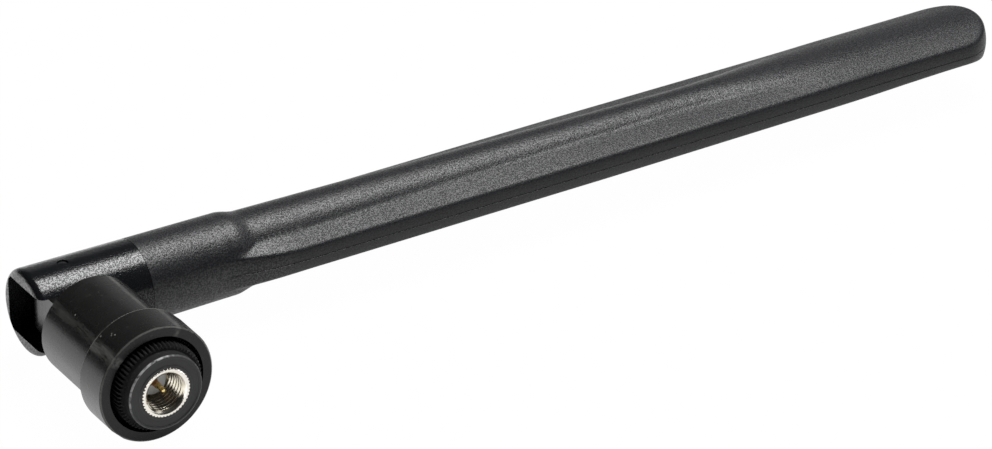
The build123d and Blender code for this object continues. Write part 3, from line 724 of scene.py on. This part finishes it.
def quarter_profile(wall, outward, centre_x, under):
    """Points from a wall point's middle, over the edge and the slope, to just before centre_x's crest."""
    points = edge_and_wall(wall.x, wall.y, outward, under)
    rim = points[-1]
    middle = BladeProfile(centre_x, under)
    span = SIDE_AT_TIP - EDGE_ROUND if wall.x != centre_x else rim.y
    valley_start = min(middle.valley_start / span, VALLEY_OUTERMOST)
    valley_end = min(middle.valley_end / span, VALLEY_OUTERMOST - VALLEY_NARROWEST)
    shares = [1 - (1 - valley_start) * step / SLOPE_STEPS for step in range(1, SLOPE_STEPS + 1)]
    shares.append((valley_start + valley_end) / 2)
    shares += [valley_end * (1 - step / BARREL_STEPS) for step in range(BARREL_STEPS)]
    for share in shares:
        x = centre_x + (rim.x - centre_x) * share
        across = rim.y * share
        points.append(Vector((x, across, BladeProfile(x, under).top(across))))
    if under:
        points = [Vector((point.x, point.y, -point.z)) for point in points]
    return points


def half_profile(wall, outward, centre_x):
    """From just beside the lower crest, round the wall, to just beside the upper crest."""
    lower = quarter_profile(wall, outward, centre_x, under=True)
    return lower[:0:-1] + quarter_profile(wall, outward, centre_x, under=False)


def round_neck(points, x):
    """Lifts a ring's points out to the neck's round surface, where that stands outside the blade's."""
    neck = neck_radius(x)
    fillet = ROOT_FILLET * (1 - smooth_share(ROOT_START, ROOT_FILLET_END, x))
    lifted = []
    for point in points:
        radius = math.hypot(point.y, point.z)
        if x < ROOT_START:
            raised = neck - (PARTING_DEPTH if abs(point.z) == PARTING_SHIFT else 0.0)
        else:
            grown = smooth_share(0.0, ROOT_FILLET_GROWTH, x - ROOT_START)
            raised = blended_max(radius, neck, fillet * grown)
        factor = raised / radius
        lifted.append(Vector((x, point.y * factor, point.z * factor)))
    return lifted


def blade_ring(x):
    """A closed ring of the radome at x, which starts at the lower crest."""
    shape_x = max(x, ROOT_START)
    half = half_profile(Vector((shape_x, side_place(shape_x))), Vector((0, 1)), shape_x)
    crest = crest_height(shape_x)
    far_half = [Vector((point.x, -point.y, point.z)) for point in reversed(half)]
    ring = [Vector((x, 0, -crest))] + half + [Vector((x, 0, crest))] + far_half
    if x < WAIST_END:
        ring = round_neck(ring, x)
    return ring


def resized(ring, x, radius):
    """A round ring at x, with its points in the directions of another ring's."""
    spread = []
    for point in ring:
        factor = radius / math.hypot(point.y, point.z)
        spread.append(Vector((x, point.y * factor, point.z * factor)))
    return spread


def tip_spokes():
    """Half profiles fanned about the tip's centre, between the two halves of the last straight ring."""
    spokes = []
    for step in range(1, TIP_SPOKES):
        turn = HALF_TURN * step / TIP_SPOKES
        length = TIP_END - TIP_CENTRE
        wall = Vector((TIP_CENTRE + length * math.sin(turn), SIDE_AT_TIP * math.cos(turn)))
        outward = Vector((SIDE_AT_TIP * math.sin(turn), length * math.cos(turn))).normalized()
        spokes.append(half_profile(wall, outward, TIP_CENTRE))
    return spokes


def spaced(start, end, step):
    """Places from start to just before end, about a step apart."""
    count = round((end - start) / step)
    return [start + (end - start) * index / count for index in range(count)]


def add_radome():
    """The radome with its bore, as one closed skin."""
    neck_ring = blade_ring(NECK_START)
    rings = [
        [Vector((BORE_END, 0, 0))],
        resized(neck_ring, BORE_END, TIP_BORE),
        resized(neck_ring, NECK_BORE_END, TAPERED_BORE),
        resized(neck_ring, NECK_BORE_END, NECK_BORE),
        resized(neck_ring, NECK_START, NECK_BORE),
        resized(neck_ring, NECK_START, NECK_RADIUS - NECK_EDGE),
    ]
    fine_start = WAIST_START - WAIST_LEAD
    stations = spaced(NECK_START + NECK_EDGE, fine_start, NECK_STEP)
    stations += spaced(fine_start, ROOT_END, ROOT_STEP) + spaced(ROOT_END, TIP_CENTRE, BLADE_STEP)
    rings += [blade_ring(x) for x in stations + [TIP_CENTRE]]
    work = bmesh.new()
    rows = [[work.verts.new(on_blade(point)) for point in ring] for ring in rings]
    for first, second in zip(rows, rows[1:]):
        add_strip(work, first, second, closed=True)
    last = rows[-1]
    half = len(last) // 2
    spokes = [last[: half + 1]]
    for points in tip_spokes():
        spokes.append([last[0]] + [work.verts.new(on_blade(point)) for point in points] + [last[half]])
    spokes.append([last[0]] + list(reversed(last[half + 1 :])) + [last[half]])
    for first, second in zip(spokes, spokes[1:]):
        add_strip(work, first, second, closed=False)
    return finished_piece("radome_skin", work)


dress(add_radome(), GRAINED, "whip", "black_plastic", "radome")


# Coupling nut: a metal insert with its thread, in a moulded grip with a dished nose and a toothed band

NUT_FRONT = -3.75
NUT_BACK = 4.25
NUT_RADIUS = 3.9
NUT_EDGE = 0.06
THREAD_CREST = 2.87
THREAD_PITCH = 25.4 / 36
THREAD_DEPTH = 0.34
THREAD_FLANKS = (0.12, 0.46, 0.54, 0.88)
THREAD_BACK = 1.75
THREAD_RUN_OUT = 0.5
MOUTH_CHAMFER = 0.52
MOUTH_LIP = 0.08
NUT_BORE = 3.12
RING_GROOVE = 3.45
RING_GROOVE_FRONT = 3.1
RING_GROOVE_BACK = 3.7
KNURLS = 44
KNURL_DEPTH = 0.2
KNURL_LENGTH = 0.9
THREAD_RINGS = 110
THREAD_STEPS = 456


def thread_radius(radius, along, angle):
    """The bore's radius with its thread, opened by the mouth's chamfer; the outside is knurled in front."""
    if abs(radius - THREAD_CREST) < TINY:
        phase = (along / THREAD_PITCH + angle / FULL_TURN) % 1.0
        groove = flat_topped(THREAD_FLANKS, phase)
        groove *= 1 - share_between(THREAD_BACK - THREAD_RUN_OUT, THREAD_BACK, along)
        mouth = THREAD_CREST + MOUTH_CHAMFER - (along - NUT_FRONT)
        if along > NUT_FRONT + MOUTH_LIP:
            mouth -= MOUTH_LIP
        return max(radius + THREAD_DEPTH * groove, mouth)
    if radius > NUT_RADIUS - NUT_EDGE - TINY and along < NUT_FRONT + KNURL_LENGTH:
        tooth = abs((angle * KNURLS / FULL_TURN) % 1.0 - 0.5) * 2
        return radius - KNURL_DEPTH * tooth**2
    return radius


def add_nut_insert():
    """The insert: its thread's surface is followed ring by ring from the back to the mouth."""
    profile = [
        (NUT_RADIUS - NUT_EDGE, NUT_FRONT),
        (NUT_RADIUS, NUT_FRONT + NUT_EDGE),
        (NUT_RADIUS, NUT_FRONT + 0.5 * KNURL_LENGTH),
        (NUT_RADIUS, NUT_FRONT + KNURL_LENGTH),
        (NUT_RADIUS, NUT_BACK),
        (NUT_BORE, NUT_BACK),
        (NUT_BORE, RING_GROOVE_BACK),
        (RING_GROOVE, RING_GROOVE_BACK),
        (RING_GROOVE, RING_GROOVE_FRONT),
        (NUT_BORE, RING_GROOVE_FRONT),
        (NUT_BORE, THREAD_BACK),
    ]
    for step in range(THREAD_RINGS + 1):
        profile.append((THREAD_CREST, THREAD_BACK + (NUT_FRONT - THREAD_BACK) * step / THREAD_RINGS))
    return lathe("nut_insert_turned", profile, about_plug, THREAD_STEPS, thread_radius, sharp_degrees=50)


NOSE_RADIUS = 5.9
NOSE_FRONT = -3.7
NOSE_ROUND = 0.25
NOSE_RIM = 0.4
NOSE_DISH = 0.12
NOSE_EDGE = 0.05
NOSE_ROOT = 0.1
HUB_RADIUS = 4.25
GRIP_BORE = 3.84
BAND_RADIUS = 6.85
BAND_FRONT = -2.0
BAND_BACK = 4.1
BAND_EDGE = 0.25
BAND_TEETH = 64
BAND_TOOTH_DEPTH = 0.42
BAND_TOOTH_FLANKS = (0.0, 0.25, 0.55, 0.8)
TEETH_STEPS = 8


def band_radius(radius, along, angle):
    """Cuts the band's teeth."""
    if radius < BAND_RADIUS - BAND_EDGE - TINY:
        return radius
    tooth = flat_topped(BAND_TOOTH_FLANKS, (angle * BAND_TEETH / FULL_TURN) % 1.0)
    return radius - BAND_TOOTH_DEPTH * (1 - tooth)


def add_nut_grip():
    """The grip: nose with its rim, dish and hub, and the band."""
    profile = rounded(
        [
            (GRIP_BORE, BAND_BACK, 0),
            (GRIP_BORE, NOSE_FRONT, 0),
            (HUB_RADIUS, NOSE_FRONT, NOSE_EDGE),
            (HUB_RADIUS + NOSE_DISH, NOSE_FRONT + NOSE_DISH, NOSE_EDGE),
            (NOSE_RADIUS - NOSE_RIM - NOSE_DISH, NOSE_FRONT + NOSE_DISH, NOSE_EDGE),
            (NOSE_RADIUS - NOSE_RIM, NOSE_FRONT, NOSE_EDGE),
            (NOSE_RADIUS, NOSE_FRONT, NOSE_ROUND),
            (NOSE_RADIUS, BAND_FRONT, NOSE_ROOT),
            (BAND_RADIUS - BAND_EDGE, BAND_FRONT, 0),
            (BAND_RADIUS, BAND_FRONT + BAND_EDGE, 0),
            (BAND_RADIUS, BAND_BACK, 0),
        ]
    )
    return lathe("nut_grip_moulded", profile, about_plug, BAND_TEETH * TEETH_STEPS, band_radius)


dress(add_nut_insert(), NICKEL, "coupling_nut", "nickel", "nut_insert")
dress(add_nut_grip(), GRIP, "coupling_nut", "black_plastic", "nut_grip")


# Centre contact, insulator and face gasket

CONTACT_RADIUS = 0.4
CONTACT_TIP = -2.95
CONTACT_POINT = 0.3
CONTACT_POINT_RADIUS = 0.24
CONTACT_ROOT_RADIUS = 0.5
CONTACT_STEP = -1.35
CONTACT_STEP_LENGTH = 0.1
CONTACT_POINT_ROUND = 0.1
CONTACT_TAPER_ROUND = 0.15
CONTACT_EDGE = 0.03
SHANK_RADIUS = 0.635
SHANK_END = 9.0
INSULATOR_RADIUS = 2.03
INSULATOR_END = 9.8
INSULATOR_EDGE = 0.06
INSULATOR_BORE_EDGE = 0.04
GASKET_BORE = 2.3
GASKET_RADIUS = 2.75
GASKET_FRONT = 1.75
GASKET_BACK = 2.4
GASKET_EDGE = 0.08


def add_contact():
    """A pin with a blunt point on a stouter shank."""
    profile = rounded(
        [
            (0, CONTACT_TIP, 0),
            (CONTACT_POINT_RADIUS, CONTACT_TIP, CONTACT_POINT_ROUND),
            (CONTACT_RADIUS, CONTACT_TIP + CONTACT_POINT, CONTACT_TAPER_ROUND),
            (CONTACT_RADIUS, CONTACT_STEP, CONTACT_EDGE),
            (CONTACT_ROOT_RADIUS, CONTACT_STEP + CONTACT_STEP_LENGTH, CONTACT_EDGE),
            (CONTACT_ROOT_RADIUS, 0, CONTACT_EDGE),
            (SHANK_RADIUS, 0, CONTACT_EDGE),
            (SHANK_RADIUS, SHANK_END, 0),
            (0, SHANK_END, 0),
        ]
    )
    return lathe("centre_contact_turned", profile, about_plug, 64, closed=False)


def add_insulator():
    """A plain bush round the contact's shank."""
    profile = rounded(
        [
            (0, SHANK_END, 0),
            (SHANK_RADIUS, SHANK_END, 0),
            (SHANK_RADIUS, 0, INSULATOR_BORE_EDGE),
            (INSULATOR_RADIUS, 0, INSULATOR_EDGE),
            (INSULATOR_RADIUS, INSULATOR_END, 0),
            (0, INSULATOR_END, 0),
        ]
    )
    return lathe("insulator_turned", profile, about_plug, 96, closed=False)


def add_gasket():
    """A square-cut rubber ring with softened edges."""
    profile = rounded(
        [
            (GASKET_BORE, GASKET_FRONT, GASKET_EDGE),
            (GASKET_RADIUS, GASKET_FRONT, GASKET_EDGE),
            (GASKET_RADIUS, GASKET_BACK, 0),
            (GASKET_BORE, GASKET_BACK, 0),
        ]
    )
    return lathe("face_gasket_ring", profile, about_plug, 96)


dress(add_contact(), GOLD, "connector", "gold", "centre_contact")
dress(add_insulator(), INSULATOR, "connector", "white_insulator", "insulator")
dress(add_gasket(), RUBBER, "connector", "seal_rubber", "face_gasket")

# Hinge pin: its two ends are domed and stand just under the housing's surface

PIN_RADIUS = 0.85
PIN_TOP = 6.5
PIN_DOME = 0.09
PIN_EDGE = 0.14
PIN_RINGS = 4


def about_hinge(radius, along, angle):
    """A point of a piece turned about the hinge's axis."""
    return Vector((radius * math.cos(angle), HINGE.y + radius * math.sin(angle), along))


def add_hinge_pin():
    """A plain pin with a slightly domed top and bottom."""
    top = [(0, PIN_TOP)]
    for step in range(1, PIN_RINGS + 1):
        radius = (PIN_RADIUS - PIN_EDGE) * step / PIN_RINGS
        top.append((radius, PIN_TOP - PIN_DOME * (radius / PIN_RADIUS) ** 2))
    top.append((PIN_RADIUS, PIN_TOP - PIN_DOME - PIN_EDGE))
    bottom = [(radius, -along) for radius, along in reversed(top)]
    return lathe("hinge_pin_domed", top + bottom, about_hinge, 48, closed=False)


dress(add_hinge_pin(), GLOSSY, "whip", "black_plastic", "hinge_pin")

# The knuckle, the hinge housing and the plug's body keep their solids and get edges of these widths
SOFT_EDGES = {"knuckle": 0.06, "hinge_housing": 0.15, "connector_body": 0.04}
SOFT_EDGE_DEGREES = 35

for softened, edge_width in SOFT_EDGES.items():
    bevel = frame["nodes"][softened].modifiers.new("soft_edges", "BEVEL")
    bevel.width = edge_width * MM
    bevel.segments = 3
    bevel.angle_limit = math.radians(SOFT_EDGE_DEGREES)
    bevel.harden_normals = True


# Camera, fitted to the photograph: its place, its direction and the photograph's frame
IMAGE_WIDTH = 992
IMAGE_HEIGHT = 449
SENSOR_WIDTH = 36.0
CAMERA_AZIMUTH = -31.932
CAMERA_ELEVATION = 29.051
CAMERA_ROLL = 0.105
CAMERA_DISTANCE = 800.0
CAMERA_ASIDE = -61.377
CAMERA_UP = 12.158
FOCAL_PIXELS = 5466.13
CENTRE_X = 483.602
CENTRE_Y = 218.749


def add_camera():
    """The camera's right, up and back directions, and its place as the hinge is seen from it."""
    azimuth = math.radians(CAMERA_AZIMUTH)
    elevation = math.radians(CAMERA_ELEVATION)
    back = Vector(
        (
            math.sin(azimuth) * math.cos(elevation),
            -math.cos(azimuth) * math.cos(elevation),
            math.sin(elevation),
        )
    )
    level_right = Vector((math.cos(azimuth), math.sin(azimuth), 0))
    roll = Matrix.Rotation(math.radians(-CAMERA_ROLL), 3, back)
    right = roll @ level_right
    up = roll @ back.cross(level_right)
    place = HINGE + back * CAMERA_DISTANCE - right * CAMERA_ASIDE + up * CAMERA_UP
    camera = bpy.data.objects.new("photo_camera", bpy.data.cameras.new("photo_camera"))
    bpy.context.scene.collection.objects.link(camera)
    camera.matrix_world = Matrix.Translation(place * MM) @ Matrix((right, up, back)).transposed().to_4x4()
    camera.data.sensor_width = SENSOR_WIDTH
    camera.data.lens = SENSOR_WIDTH * FOCAL_PIXELS / IMAGE_WIDTH
    camera.data.shift_x = (IMAGE_WIDTH / 2 - CENTRE_X) / IMAGE_WIDTH
    camera.data.shift_y = (CENTRE_Y - IMAGE_HEIGHT / 2) / IMAGE_WIDTH
    camera.data.clip_start = 0.05
    camera.data.clip_end = 20.0
    bpy.context.scene.camera = camera


add_camera()


# Ground and light

FLOOR_GAP = 0.02
FLOOR_SIZE = 12.0
FLOOR_SEEN = 0.99
# What gloss shows of the floor, and of its brighter part left of the plug
FLOOR_REFLECTED = 0.62
FLOOR_REFLECTED_LEFT = 1.4
FLOOR_LEFT = -8.0
FLOOR_LEFT_BLEND = 10.0


def add_floor():
    """A white floor that the camera sees nearly white, with a trace of the object's shadow."""
    size = FLOOR_SIZE / 2
    mesh = bpy.data.meshes.new("floor")
    height = cad_low.z - FLOOR_GAP * MM
    mesh.from_pydata(
        [(-size, -size, height), (size, -size, height), (size, size, height), (-size, size, height)],
        [],
        [(0, 1, 2, 3)],
    )
    floor = bpy.data.objects.new("floor", mesh)
    bpy.context.scene.collection.objects.link(floor)
    finish = Finish("white_ground", Roughness=0.9, Specular_IOR_Level=0.0)
    cloud = finish.noise(0.004, detail=2.0)
    finish.feed("Base Color", finish.mix(cloud, 0.8, 0.82))
    x = finish.axes(finish.place())[0]
    extra = x.under(FLOOR_LEFT, FLOOR_LEFT_BLEND) * (FLOOR_REFLECTED_LEFT - FLOOR_REFLECTED)
    reflected = finish.node("LightPath", output="Is Glossy Ray")
    seen = finish.node("LightPath", output="Is Camera Ray") * FLOOR_SEEN + reflected * FLOOR_REFLECTED
    glow = finish.node("Emission", None, {"Color": reflected * extra / FLOOR_REFLECTED + 1})
    finish.show(finish.node("MixShader", None, [seen, finish.surface, glow]))
    mesh.materials.append(finish.material)


WORLD_GREY = 0.03
LAMP_TARGET = (0.07, 0.02, 0)


def add_lamp(name, place, size, power):
    """A soft rectangular lamp that faces the blade, in metres and watts."""
    lamp = bpy.data.lights.new(name, "AREA")
    lamp.shape = "RECTANGLE"
    lamp.size, lamp.size_y = size
    lamp.energy = power
    holder = bpy.data.objects.new(name, lamp)
    bpy.context.scene.collection.objects.link(holder)
    holder.location = place
    direction = Vector(LAMP_TARGET) - Vector(place)
    holder.rotation_euler = direction.to_track_quat("-Z", "Y").to_euler()


def light_scene():
    """A dark surround that the camera sees as white, a lamp overhead and two weak ones for the edges."""
    world = bpy.data.worlds.new("studio")
    bpy.context.scene.world = world
    nodes = Nodes(world, "World")
    to_camera = nodes.node("LightPath", output="Is Camera Ray")
    surround = nodes.node("Background", None, {"Color": colour(WORLD_GREY)})
    white = nodes.node("Background", None, {"Color": colour(1.0)})
    nodes.show(nodes.node("MixShader", None, [to_camera, surround, white]))
    add_lamp("overhead", (0.32, 0.02, 0.86), (0.5, 0.5), 11.6)
    add_lamp("backdrop_glow", (0.78, 1.15, 0.3), (2.0, 0.8), 1.55)
    add_lamp("front_fill", (0.85, -0.45, 0.5), (0.4, 0.4), 0.6)


bpy.context.scene.view_settings.view_transform = "Standard"
add_floor()
light_scene()
